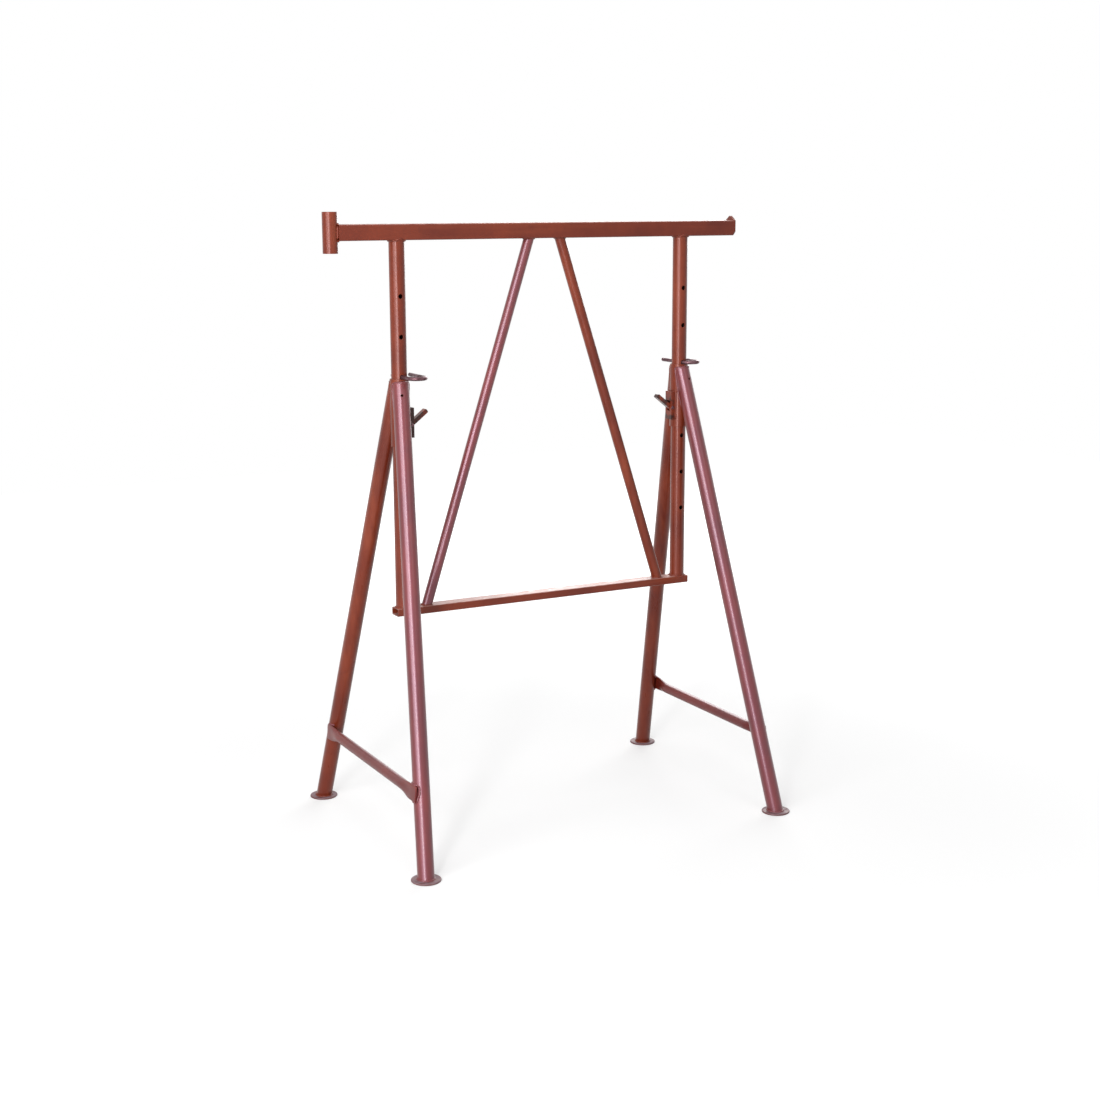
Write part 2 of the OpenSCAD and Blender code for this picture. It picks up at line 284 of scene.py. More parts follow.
class TRESTLE_PG_stage(bpy.types.PropertyGroup):
    """Camera, lamps and floor"""

    eye: FloatVectorProperty(
        name="Camera", description="Place of the camera",
        subtype="TRANSLATION", unit="LENGTH", size=3, default=(-2.1058, -4.0487, 1.6290))
    heading: FloatProperty(
        name="Heading", description="Turn of the view from straight along the Y axis, to the right",
        subtype="ANGLE", unit="ROTATION", default=math.radians(27.791))
    tilt: FloatProperty(
        name="Tilt", description="Tilt of the view below the horizon",
        subtype="ANGLE", unit="ROTATION", default=math.radians(11.358))
    roll: FloatProperty(
        name="Roll", description="Roll of the camera about its own view",
        subtype="ANGLE", unit="ROTATION", default=math.radians(-0.194))
    lens: FloatProperty(
        name="Lens", description="Focal length on a 36 mm sensor, in millimetres",
        min=10, max=300, default=57.13)
    floor: FloatVectorProperty(
        name="Floor", description="Colour of the plain floor",
        subtype="COLOR", size=3, min=0, max=1, default=(0.45, 0.45, 0.45))
    near_lift: FloatProperty(
        name="Near lift", description="Light added to the floor in the picture, round the trestle",
        min=0, max=1, default=0.48)
    far_lift: FloatProperty(
        name="Far lift", description="Light added to the floor in the picture, far from the trestle",
        min=0, max=1, default=0.97)
    sky: FloatProperty(
        name="Sky", description="Strength of the soft light from all round",
        min=0, max=2, default=0.13)
    key: FloatProperty(
        name="Key lamp", description="Power of the tall lamp high at the front left, in watts",
        unit="POWER", min=0, max=1000, default=135)
    wide_key: FloatProperty(
        name="Wide lamp", description="Power of the broad lamp at the left, in watts",
        unit="POWER", min=0, max=1000, default=160)
    low_key: FloatProperty(
        name="Low lamp", description="Power of the lamp under the key lamp, in watts",
        unit="POWER", min=0, max=1000, default=60)
    fill: FloatProperty(
        name="Fill lamp", description="Power of the wide lamp high at the front right, in watts",
        unit="POWER", min=0, max=1000, default=22)
    back: FloatProperty(
        name="Back lamp", description="Power of the wide lamp behind, on the right, in watts",
        unit="POWER", min=0, max=1000, default=180)
    top: FloatProperty(
        name="Top lamp", description="Power of the wide lamp overhead, in watts",
        unit="POWER", min=0, max=1000, default=85)


# Materials

def add_node(tree, kind, inputs=None, **settings):
    """New shader node with its settings, and its inputs linked or set."""
    made = tree.nodes.new("ShaderNode" + kind)
    for key, value in settings.items():
        setattr(made, key, value)
    for key, value in (inputs or {}).items():
        if isinstance(value, bpy.types.NodeSocket):
            tree.links.new(value, made.inputs[key])
        else:
            made.inputs[key].default_value = value
    return made


class Finish:
    """Builds one node material from short calls that take and give sockets."""

    def __init__(self, name):
        self.material = bpy.data.materials.new(name)
        self.material.use_nodes = True
        self.tree = self.material.node_tree
        self.tree.nodes.clear()
        self.place = self.add("TexCoord").outputs["Object"]
        self.facing = self.add("NewGeometry").outputs["Normal"]

    def add(self, kind, inputs=None, **settings):
        """New node in this material."""
        return add_node(self.tree, kind, inputs, **settings)

    def grain(self, size, detail=3, stretch=None):
        """Noise whose features are about size metres, drawn out along an axis by stretch."""
        place = self.place
        if stretch is not None:
            place = self.add("Mapping", {"Vector": place, "Scale": stretch}).outputs["Vector"]
        settings = {"Vector": place, "Scale": 1 / size, "Detail": detail, "Roughness": 0.55}
        return self.add("TexNoise", settings).outputs["Fac"]

    def span(self, value, low, high, to_low=0.0, to_high=1.0):
        """Value moved smoothly from one range into another, and held inside it."""
        limits = {"Value": value, "From Min": low, "From Max": high, "To Min": to_low, "To Max": to_high}
        return self.add("MapRange", limits, interpolation_type="SMOOTHSTEP").outputs["Result"]

    def times(self, first, second):
        """Product of two values."""
        return self.add("Math", {0: first, 1: second}, operation="MULTIPLY").outputs[0]

    def plus(self, first, second):
        """Sum of two values, held between 0 and 1."""
        return self.add("Math", {0: first, 1: second}, operation="ADD", use_clamp=True).outputs[0]

    def mix(self, share, first, second):
        """Colour that goes from first to second as share goes from 0 to 1."""
        made = self.add("Mix", data_type="RGBA")
        sockets = {socket.identifier: socket for socket in made.inputs}
        for key, value in (("Factor_Float", share), ("A_Color", first), ("B_Color", second)):
            if isinstance(value, bpy.types.NodeSocket):
                self.tree.links.new(value, sockets[key])
            elif key == "Factor_Float":
                sockets[key].default_value = value
            else:
                sockets[key].default_value = (*value, 1)
        return next(socket for socket in made.outputs if socket.identifier == "Result_Color")

    def upward(self):
        """How far the surface faces up: 1 on a level top."""
        return self.add("SeparateXYZ", {0: self.facing}).outputs["Z"]

    def soft_edges(self, width):
        """Normal with its edges rounded over a width."""
        return self.add("Bevel", {"Radius": width}, samples=6).outputs["Normal"]

    def edges(self, rounded):
        """How sharply the surface turns, from a rounded normal: 0 on a plain face."""
        along = self.add("VectorMath", {0: rounded, 1: self.facing}, operation="DOT_PRODUCT")
        return self.span(along.outputs["Value"], 0.985, 0.80)

    def bump(self, height, depth, normal):
        """Normal raised by a height that is depth metres deep."""
        inputs = {"Height": height, "Distance": depth, "Strength": 1.0, "Normal": normal}
        return self.add("Bump", inputs).outputs["Normal"]

    def surface(self, colour, roughness, normal, metallic=0.0, paint=None, shine=1.0):
        """Ends the material with its shader, at a share of the paint's own shine."""
        inputs = {
            "Base Color": colour,
            "Roughness": roughness,
            "Normal": normal,
            "Metallic": metallic,
        }
        if paint is not None:
            inputs["Specular IOR Level"] = paint.gloss * shine
            inputs["Specular Tint"] = (*paint.sheen, 1)
            inputs["Coat Weight"] = paint.coat * shine
            inputs["Coat Roughness"] = paint.coat_roughness
        shader = self.add("BsdfPrincipled", inputs)
        self.add("OutputMaterial", {"Surface": shader.outputs["BSDF"]})
        return self.material


def primer_paint(name, paint, run, dustiness, rubbing, painted_shade=0.0, shine=1.0):
    """Red-oxide primer, brushed along the tubes, dusty on top and rubbed at its edges, with black blotches
    of painted shade where asked.
    """
    finish = Finish(name)
    drift = finish.grain(0.16, 3)
    mottle = finish.grain(0.022, 5)
    brush = finish.grain(0.03, 4, run)
    peel = finish.grain(0.0016, 2)
    colour = finish.mix(finish.span(drift, 0.25, 0.75), paint.thick, paint.primer)
    colour = finish.mix(finish.times(finish.span(brush, 0.45, 0.80), 0.55), colour, paint.thin)
    colour = finish.mix(finish.times(finish.span(mottle, 0.52, 0.80), 0.45), colour, paint.thick)
    settled = finish.times(finish.span(finish.upward(), 0.30, 0.97), finish.span(mottle, 0.25, 0.60))
    settled = finish.times(settled, dustiness)
    colour = finish.mix(settled, colour, paint.dust)
    rounded = finish.soft_edges(paint.edge_width)
    worn = finish.times(finish.edges(rounded), finish.span(mottle, 0.46, 0.60))
    worn = finish.times(worn, rubbing)
    chips = finish.times(finish.span(finish.grain(0.006, 2), 0.70, 0.74), finish.span(drift, 0.52, 0.66))
    colour = finish.mix(finish.plus(worn, finish.times(chips, 0.6 * rubbing)), colour, paint.bare)
    # Black blotches of painted shade, their share set by the argument below
    if painted_shade:
        shade_blotches = finish.span(finish.grain(0.03, 3), 0.72 - 0.5 * painted_shade, 0.82 - 0.5 * painted_shade)
        colour = finish.mix(finish.times(shade_blotches, 0.92), colour, paint.painted_shade)
    gloss = finish.span(brush, 0.2, 0.8, paint.roughness - 0.05, paint.roughness + 0.08)
    gloss = finish.plus(gloss, finish.times(settled, 0.3))
    normal = finish.bump(peel, 0.000004, finish.bump(brush, 0.00003, rounded))
    return finish.surface(colour, gloss, normal, paint=paint, shine=shine)


def worn_steel(name, metal, paint):
    """Handled steel bar with stains of old primer and fine scratches."""
    finish = Finish(name)
    drift = finish.grain(0.012, 4)
    scratch = finish.grain(0.0012, 3, ALONG_Y)
    stained = finish.span(drift, 0.42, 0.62, 0.15, 0.9)
    colour = finish.mix(stained, metal.steel, metal.stain)
    colour = finish.mix(finish.times(finish.span(scratch, 0.60, 0.75), 0.3), colour, metal.site_dust)
    rounded = finish.soft_edges(paint.edge_width)
    gloss = finish.span(drift, 0.3, 0.7, 0.30, 0.52)
    normal = finish.bump(scratch, 0.00006, finish.bump(drift, 0.0003, rounded))
    return finish.surface(colour, gloss, normal, metallic=0.75)


def foot_paint(name, metal, paint):
    """Scuffed primer under grey site dust and a painted sky reflection on the upward faces, leaving the
    sides darker as painted shade, rubbed to steel round the rim.
    """
    finish = Finish(name)
    blotch = finish.grain(0.014, 5)
    grit = finish.grain(0.0022, 3)
    # Upward faces paled by dust and a painted sky reflection; the sides stay darker as painted shade
    dust_and_reflection = finish.times(finish.span(finish.upward(), 0.1, 0.9), finish.span(blotch, 0.32, 0.66))
    colour = finish.mix(finish.span(grit, 0.3, 0.7), metal.foot, paint.thick)
    colour = finish.mix(dust_and_reflection, colour, metal.site_dust)
    rounded = finish.soft_edges(paint.edge_width)
    worn = finish.times(finish.edges(rounded), finish.span(grit, 0.42, 0.6))
    colour = finish.mix(worn, colour, metal.steel)
    gloss = finish.span(dust_and_reflection, 0.0, 1.0, 0.45, 0.8)
    normal = finish.bump(grit, 0.00025, finish.bump(blotch, 0.0006, rounded))
    return finish.surface(colour, gloss, normal)


def weld_paint(name, paint):
    """Primer over a weld: thick in the ripples and thin on a few crests."""
    finish = Finish(name)
    ripple = finish.grain(0.004, 4)
    speck = finish.grain(0.0013, 2)
    colour = finish.mix(finish.span(ripple, 0.3, 0.7), paint.thick, paint.primer)
    colour = finish.mix(finish.times(finish.span(speck, 0.58, 0.72), 0.6), colour, paint.thin)
    gloss = finish.span(speck, 0.3, 0.7, paint.roughness + 0.10, paint.roughness + 0.30)
    normal = finish.bump(speck, 0.00004, finish.facing)
    return finish.surface(colour, gloss, normal, paint=paint)


def coat(objects, material):
    """Gives objects one material, in place of any that they have."""
    for piece in objects:
        piece.data.materials.clear()
        piece.data.materials.append(material)


# Meshes

def new_piece(name, mesh, material, body):
    """Object of a finished mesh, shaded smooth, that rides on a body."""
    data = bpy.data.meshes.new(name)
    mesh.to_mesh(data)
    mesh.free()
    data.shade_smooth()
    data.materials.append(material)
    piece = bpy.data.objects.new(name, data)
    bpy.context.scene.collection.objects.link(piece)
    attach(piece, body)
    return piece


def skin(mesh, rings, closed):
    """Joins rings of points with quads, and caps the two ends unless the tube is closed."""
    loops = [[mesh.verts.new(point) for point in ring] for ring in rings]
    pairs = list(zip(loops, loops[1:]))
    if closed:
        pairs.append((loops[-1], loops[0]))
    for near, far in pairs:
        for i, vert in enumerate(near):
            j = (i + 1) % len(near)
            mesh.faces.new((vert, near[j], far[j], far[i]))
    if not closed:
        mesh.faces.new(loops[0][::-1])
        mesh.faces.new(loops[-1])


def even_stations(points, radii, step, closed):
    """Points, radii and distances along a path, spaced evenly by about a step."""
    path = [Vector(point) for point in points]
    sizes = list(radii)
    if closed:
        path.append(path[0])
        sizes.append(sizes[0])
    lengths = [0.0]
    for a, b in zip(path, path[1:]):
        lengths.append(lengths[-1] + (b - a).length)
    total = lengths[-1]
    count = max(8, round(total / step))
    stations = []
    leg = 0
    for i in range(count if closed else count + 1):
        distance = total * i / count
        while leg < len(path) - 2 and lengths[leg + 1] < distance:
            leg += 1
        share = (distance - lengths[leg]) / (lengths[leg + 1] - lengths[leg])
        place = path[leg].lerp(path[leg + 1], share)
        size = sizes[leg] + (sizes[leg + 1] - sizes[leg]) * share
        stations.append((place, size, distance))
    return stations, total


def lay_bead(mesh, points, radii, ripple, closed):
    """Adds one rippled weld bead along a path, tapered at its ends unless it is closed."""
    stations, total = even_stations(points, radii, ripple / RIPPLE_STEPS, closed)
    count = len(stations)
    if closed:
        ripple = total / round(total / ripple)
    rings = []
    across = None
    for i, (place, size, distance) in enumerate(stations):
        after = stations[(i + 1) % count][0] if closed or i < count - 1 else place
        before = stations[i - 1][0] if closed or i > 0 else place
        ahead = (after - before).normalized()
        if across is None:
            across = ahead.orthogonal()
        across = (across - ahead * across.dot(ahead)).normalized()
        phase = (distance / ripple) % 1
        scallop = RIPPLE_LOW + RIPPLE_RISE * math.sin(math.pi * phase)
        wander = 1 + WANDER * noise.noise(place * WANDERS_PER_METRE)
        radius = size * scallop * wander
        if not closed:
            end = min(distance, total - distance)
            radius *= math.sqrt(min(1.0, TIP_AREA + end / (TIP_LENGTH * size)))
        beside = ahead.cross(across)
        turns = [2 * math.pi * k / BEAD_SIDES for k in range(BEAD_SIDES)]
        rings.append([place + radius * (math.cos(t) * across + math.sin(t) * beside) for t in turns])
    skin(mesh, rings, closed)


def weld(name, body, material, seams, ripple):
    """One weld piece from its seams: (points, radius or radii, closed)."""
    mesh = bmesh.new()
    for points, radii, closed in seams:
        if isinstance(radii, float):
            radii = [radii] * len(points)
        lay_bead(mesh, points, radii, ripple, closed)
    bmesh.ops.recalc_face_normals(mesh, faces=mesh.faces)
    return new_piece(name, mesh, material, body)


# Seams

def level_seam(foot, axis, radius, level, flat=None, corner=0.0, sense=1):
    """Closed line where a tube meets a level face, whose long edges may be rounded.

    flat is the half width of the face's flat part along Y, and sense is 1 where the rounding rises."""
    steps = 72
    ahead = axis.normalized()
    across = ahead.orthogonal().normalized()
    beside = ahead.cross(across)
    seam = []
    for i in range(steps):
        turn = 2 * math.pi * i / steps
        point = foot + radius * (math.cos(turn) * across + math.sin(turn) * beside)
        point = point + ahead * ((level - point.z) / ahead.z)
        if flat is not None:
            over = min(max(abs(point.y) - flat, 0.0), corner)
            point.z += sense * (corner - math.sqrt(corner ** 2 - over ** 2))
        seam.append(point)
    return seam


def straight_seam(a, b):
    """Straight line between two points."""
    return [Vector(a), Vector(b)]


def brace_axis(node):
    """Lower and upper end of a slanted brace's axis, from its box."""
    low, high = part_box(node)
    radius = (high.y - low.y) / 2
    rise = high.z - low.z
    run = high.x - low.x - 2 * radius
    passes = 6
    for _ in range(passes):
        run = high.x - low.x - 2 * radius * math.hypot(1, run / rise)
    inset = (high.x - low.x - run) / 2
    ends = [low.x + inset, high.x - inset]
    if middle(node).x > middle("top_beam").x:
        ends.reverse()
    return Vector((ends[0], 0, low.z)), Vector((ends[1], 0, high.z)), radius


class Stand:
    """Axes and sizes of one stand, read from the frame."""

    def __init__(self, side, welds):
        self.side = side
        sleeve = side + "_sleeve"
        self.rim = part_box(sleeve)[1].z
        self.radius = reach(sleeve).x
        self.axis = Vector((middle(sleeve).x, 0, 0))
        self.inward = 1 if side == "left" else -1
        self.cut = self.rim - welds.head_drop
        self.head_offset = welds.head_offset

    def leg(self, way):
        """Foot and head of a leg's axis, and its radius."""
        foot = middle(f"{self.side}_{way}_foot")
        foot.z = 0
        toward = 1 if foot.y > 0 else -1
        head = Vector((self.axis.x, toward * self.head_offset, self.rim))
        return foot, head, self.leg_radius(way, foot, head)

    def leg_radius(self, way, foot, head):
        """Radius of a leg, from its reach past its own axis at the floor end."""
        low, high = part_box(f"{self.side}_{way}_leg")
        lean = (head - foot).normalized()
        end = foot + lean * (low.z / lean.z)
        past = high.y - end.y if foot.y > 0 else end.y - low.y
        return past / math.sqrt(1 + (lean.y / lean.z) ** 2)

    def saddle(self, way):
        """Line where a leg meets the sleeve: down one side to the crotch and up the other."""
        foot, head, radius = self.leg(way)
        lean = (head - foot).normalized()
        inner = self.axis - Vector((foot.x, foot.y, 0))
        inner = (inner - lean * inner.dot(lean)).normalized()
        beside = lean.cross(inner)
        steps = 160
        searched = 1.5 * math.pi
        seam = []
        for i in range(steps + 1):
            turn = searched * (i / steps - 0.5)
            start = foot + radius * (math.cos(turn) * inner + math.sin(turn) * beside)
            gap = start - self.axis
            a = lean.x ** 2 + lean.y ** 2
            b = gap.x * lean.x + gap.y * lean.y
            c = gap.x ** 2 + gap.y ** 2 - self.radius ** 2
            inside = b * b - a * c
            if inside < 0:
                continue
            point = start + lean * ((-b - math.sqrt(inside)) / a)
            if point.z <= self.cut:
                seam.append(point)
        return seam

    def head_fill(self, way):
        """Crescent of weld that closes a leg's cut top against the sleeve, with its radii."""
        foot, head, radius = self.leg(way)
        lean = (head - foot).normalized()
        centre = foot + lean * (self.cut / lean.z)
        toward = math.atan2(centre.y - self.axis.y, centre.x - self.axis.x)
        steps = 60
        overlap = 0.0006
        seam = []
        radii = []
        for i in range(steps + 1):
            turn = toward + math.pi * (i / steps - 0.5)
            ray = Vector((math.cos(turn), math.sin(turn), 0))
            offset = self.axis - Vector((centre.x, centre.y, 0))
            spread = ray - lean * ray.dot(lean)
            shift = offset - lean * offset.dot(lean)
            a = spread.dot(spread)
            b = spread.dot(shift)
            c = shift.dot(shift) - radius ** 2
            outer = (-b + math.sqrt(b * b - a * c)) / a
            if outer > self.radius:
                middle_of_wall = (outer + self.radius) / 2
                seam.append(Vector((self.axis.x, 0, self.cut)) + ray * middle_of_wall)
                radii.append((outer - self.radius) / 2 + overlap)
        return seam, radii

    def bracket_lines(self):
        """Upright lines where the lever bracket meets the sleeve, and a tack over each."""
        low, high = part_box(self.side + "_lever_bracket")
        half = (high.y - low.y) / 2
        out = self.axis.x + self.inward * math.sqrt(self.radius ** 2 - half ** 2)
        lines = [straight_seam((out, y, low.z), (out, y, high.z)) for y in (-half, half)]
        tack_points = 7
        tack_start = half - 0.004
        tack_step = 0.0016
        for way in (-1, 1):
            tack = []
            for i in range(tack_points):
                y = way * (tack_start + tack_step * i)
                run = math.sqrt(self.radius ** 2 - y ** 2)
                tack.append(Vector((self.axis.x + self.inward * run, y, high.z)))
            lines.append(tack)
        return lines

    def tie_lines(self, way):
        """Lines over, under and along the end of a pressed tie, on the leg that it sits on."""
        foot, head, radius = self.leg(way)
        low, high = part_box(self.side + "_cross_tie")
        lean = (head - foot) / (head.z - foot.z)
        outward = 1 if foot.y > 0 else -1
        end = high.y if outward > 0 else low.y

        def on_leg(level, past):
            across = math.sqrt(radius ** 2 - past ** 2)
            return foot + lean * level + Vector((-self.inward * across, outward * past, 0))

        def tie_end(level):
            return outward * (end - foot.y - lean.y * level)

        brim = 0.8 * radius
        level_steps = 12
        upright_steps = 8
        lines = []
        for level in (low.z, high.z):
            stop = min(max(tie_end(level), -0.4 * radius), 0.75 * radius)
            places = [-brim + (stop + brim) * i / level_steps for i in range(level_steps + 1)]
            lines.append([on_leg(level, past) for past in places])
        upright = []
        for i in range(upright_steps + 1):
            level = low.z + (high.z - low.z) * i / upright_steps
            upright.append(on_leg(level, min(max(tie_end(level), -brim), brim)))
        lines.append(upright)
        return lines


# Operators

class TRESTLE_OT_paint_frame(bpy.types.Operator):
    """Paint the upper frame with red-oxide primer, brushed along its tubes"""

    bl_idname = "trestle.paint_frame"
    bl_label = "Paint upper frame"

    def execute(self, context):
        paint = context.scene.trestle_paint
        gloss = context.scene.trestle_gloss
        upright = primer_paint("frame_primer_upright", paint, ALONG_Z, dustiness=0.6, rubbing=0.35)
        level = primer_paint("frame_primer_level", paint, ALONG_X, dustiness=0.85, rubbing=0.55)
        # The left brace takes the lit copy of the primer, as painted highlight; the right brace keeps the
        # satin one
        highlight_paint = primer_paint("brace_primer", gloss, ALONG_Z, dustiness=0.3, rubbing=0.35)
        for piece in pieces_of("frame_paint"):
            if piece.name in ("top_beam", "bottom_tie"):
                coat([piece], level)
            elif piece.name == "left_brace":
                coat([piece], highlight_paint)
            else:
                coat([piece], upright)
        return {"FINISHED"}


class TRESTLE_OT_paint_stands(bpy.types.Operator):
    """Paint both stands and their levers with red-oxide primer"""

    bl_idname = "trestle.paint_stands"
    bl_label = "Paint stands"

    def execute(self, context):
        paint = context.scene.trestle_paint
        gloss = context.scene.trestle_gloss
        nodes = frame["nodes"]
        satin = primer_paint("stand_primer", paint, ALONG_Z, dustiness=0.5, rubbing=0.35)
        coat(pieces_of("stand_paint"), satin)
        # Front legs take the lit copy of the primer, as painted highlight
        highlight_paint = primer_paint("leg_primer", gloss, ALONG_Z, dustiness=0.3, rubbing=0.35)
        # Each side's bracket and lever get black blotches of painted shade, in the shares listed above
        for side, (on_bracket, on_lever) in PAINTED_SHADE.items():
            shade_blotches = primer_paint(
                side + "_greasy_primer", paint, ALONG_Z, dustiness=0.4, rubbing=0.35, painted_shade=on_bracket)
            handled = primer_paint(
                side + "_lever_primer", paint, ALONG_Z, dustiness=0.0, rubbing=0.35, painted_shade=on_lever)
            coat([nodes[side + "_lever_bracket"]], shade_blotches)
            coat([nodes[side + "_lever"]], handled)
            coat([nodes[side + "_front_leg"]], highlight_paint)
        return {"FINISHED"}


class TRESTLE_OT_finish_steel(bpy.types.Operator):
    """Give the loop pins and rivets their worn steel"""

    bl_idname = "trestle.finish_steel"
    bl_label = "Finish pins and rivets"

    def execute(self, context):
        scene = context.scene
        material = worn_steel("handled_steel", scene.trestle_metal, scene.trestle_paint)
        coat(pieces_of("worn_steel"), material)
        return {"FINISHED"}


class TRESTLE_OT_dust_feet(bpy.types.Operator):
    """Give the foot plates their scuffed paint, with dust and a painted sky reflection on top"""

    bl_idname = "trestle.dust_feet"
    bl_label = "Dust foot plates"

    def execute(self, context):
        scene = context.scene
        material = foot_paint("dusty_foot", scene.trestle_metal, scene.trestle_paint)
        coat(pieces_of("foot_paint"), material)
        return {"FINISHED"}


class TRESTLE_OT_press_ties(bpy.types.Operator):
    """Make the cross ties as tube pressed smoothly flat at both ends"""

    bl_idname = "trestle.press_ties"
    bl_label = "Press cross ties"

    def execute(self, context):
        scene = context.scene
        # Cross ties take the lit copy of the primer at a share of its shine, as painted highlight
        material = primer_paint(
            "tie_primer", scene.trestle_gloss, ALONG_Y,
            dustiness=0.12, rubbing=0.35, shine=scene.trestle_ties.shine)
        for side in SIDES:
            stand = Stand(side, scene.trestle_welds)
            self.press(stand, scene.trestle_ties, material)
        return {"FINISHED"}

    def section(self, ties, flatness):
        """Outline of the tie: round at flatness 0, pressed flat at 1, as (across, upright)."""
        sides = 48
        edge = ties.flat_thick / 2
        straight = ties.flat_width - ties.flat_thick
        around = 2 * straight + 2 * math.pi * edge
        outline = []
        for i in range(sides):
            turn = 2 * math.pi * i / sides
            ring = Vector((math.cos(turn), math.sin(turn))) * ties.diameter / 2
            run = (around * i / sides + straight / 2) % around
            if run < straight:
                flat = Vector((edge, run - straight / 2))
            elif run < straight + math.pi * edge:
                bend = (run - straight) / edge
                flat = Vector((edge * math.cos(bend), straight / 2 + edge * math.sin(bend)))
            elif run < 2 * straight + math.pi * edge:
                flat = Vector((-edge, straight / 2 - (run - straight - math.pi * edge)))
            else:
                bend = math.pi + (run - 2 * straight - math.pi * edge) / edge
                flat = Vector((edge * math.cos(bend), -straight / 2 + edge * math.sin(bend)))
            outline.append(ring.lerp(flat, flatness))
        return outline

    def press(self, stand, ties, material):
        """Lofts one tie where its CAD solid lies."""
        node = stand.side + "_cross_tie"
        low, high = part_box(node)
        foot, head, _ = stand.leg("rear")
        lean = (head - foot) / head.z
        tilt = Matrix.Rotation(math.atan(lean.x), 4, "Y")
        out = Vector((-stand.inward * ties.set_out, 0, 0))
        centre = (low + high) / 2 - Vector((0, 0, (tilt @ out).z))
        centre.y = 0
        leg_y = foot.y + lean.y * centre.z
        flat_from = leg_y - ties.flat_from
        round_to = leg_y - ties.round_from
        presses = 14
        stops = [round_to + (flat_from - round_to) * i / presses for i in range(presses + 1)]
        # Each sawn end is broken over its last rings: distance from the end, and share taken off
        cuts = ((0.0016, 0.0), (0.0005, 0.07), (0.0, 0.22))
        stations = [(low.y + inset, loss) for inset, loss in reversed(cuts)]
        stations += [(-stop, 0.0) for stop in reversed(stops)] + [(stop, 0.0) for stop in stops]
        stations += [(high.y - inset, loss) for inset, loss in cuts]
        mesh = bmesh.new()
        rings = []
        for y, loss in stations:
            share = min(max((abs(y) - round_to) / (flat_from - round_to), 0.0), 1.0)
            flatness = share * share * (3 - 2 * share)
            trim = loss * ties.flat_thick / 2
            ring = []
            for across, upright in self.section(ties, flatness):
                tall = upright - math.copysign(min(trim, abs(upright)), upright)
                spot = Vector((across * (1 - loss), 0, tall)) + out * flatness
                ring.append(centre + tilt @ spot + Vector((0, y, 0)))
            rings.append(ring)
        skin(mesh, rings, closed=False)
        bmesh.ops.recalc_face_normals(mesh, faces=mesh.faces)
        body = stand.side + "_stand"
        piece = new_piece(stand.side + "_pressed_tie", mesh, material, body)
        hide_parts(node)


class TRESTLE_OT_weld_frame(bpy.types.Operator):
    """Lay the weld beads of the upper frame"""

    bl_idname = "trestle.weld_frame"
    bl_label = "Weld upper frame"

    def execute(self, context):
        welds = context.scene.trestle_welds
        material = weld_paint("frame_weld", context.scene.trestle_paint)
        seams = {}
        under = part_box("top_beam")[0].z
        tie_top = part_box("bottom_tie")[1].z
        beam_flat = reach("top_beam").y - welds.beam_corner
        tie_flat = reach("bottom_tie").y - welds.tie_corner
        for side in SIDES:
            foot = middle(side + "_post")
            radius = reach(side + "_post").x
            head = level_seam(foot, UP, radius, under, beam_flat, welds.beam_corner, 1)
            base = level_seam(foot, UP, radius, tie_top, tie_flat, welds.tie_corner, -1)
            seams[side + "_post_head_weld"] = [(head, welds.bead, True)]
            seams[side + "_post_foot_weld"] = [(base, welds.bead, True)]
            low, high, radius = brace_axis(side + "_brace")
            head = level_seam(high, high - low, radius, under)
            base = level_seam(low, high - low, radius, tie_top)
            seams[side + "_brace_head_weld"] = [(head, welds.light_bead, True)]
            seams[side + "_brace_foot_weld"] = [(base, welds.light_bead, True)]
        seams["socket_weld"] = self.socket_seams(welds)
        seams["end_stop_weld"] = self.stop_seams(welds)
        for name, lines in seams.items():
            weld(name, "upper_frame", material, lines, welds.ripple)
        return {"FINISHED"}

    def socket_seams(self, welds):
        """Beads over, under and down both sides of the beam's end at the socket."""
        low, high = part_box("top_beam")
        axis = middle("guardrail_socket")
        radius = reach("guardrail_socket").x
        seat = 0.003
        inset = 0.001
        steps = 16
        beam_end = axis.x + radius - seat
        side_y = reach("top_beam").y - welds.beam_corner - inset
        seams = []
        for z in (low.z, high.z):
            line = []
            for i in range(steps + 1):
                y = side_y * (2 * i / steps - 1)
                wall = axis.x + math.sqrt(radius ** 2 - y ** 2)
                line.append(Vector(((wall + max(wall, beam_end)) / 2, y, z)))
            seams.append((line, welds.bead, False))
        gap_x = (axis.x + math.sqrt(radius ** 2 - side_y ** 2) + beam_end) / 2
        foot_z = low.z + welds.beam_corner
        head_z = high.z - welds.beam_corner
        for y in (-side_y, side_y):
            seams.append((straight_seam((gap_x, y, foot_z), (gap_x, y, head_z)), welds.bead, False))
        return seams

    def stop_seams(self, welds):
        """Beads where the stop plate meets the beam, on top and below."""
        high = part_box("top_beam")[1]
        plate_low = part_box("end_stop")[0]
        half = reach("top_beam").y - welds.beam_corner
        upper = straight_seam((high.x, -half, high.z), (high.x, half, high.z))
        lower = straight_seam((high.x, -half / 2, plate_low.z), (high.x, half / 2, plate_low.z))
        thin_bead = 0.7 * welds.light_bead
        return [(upper, welds.light_bead, False), (lower, thin_bead, False)]


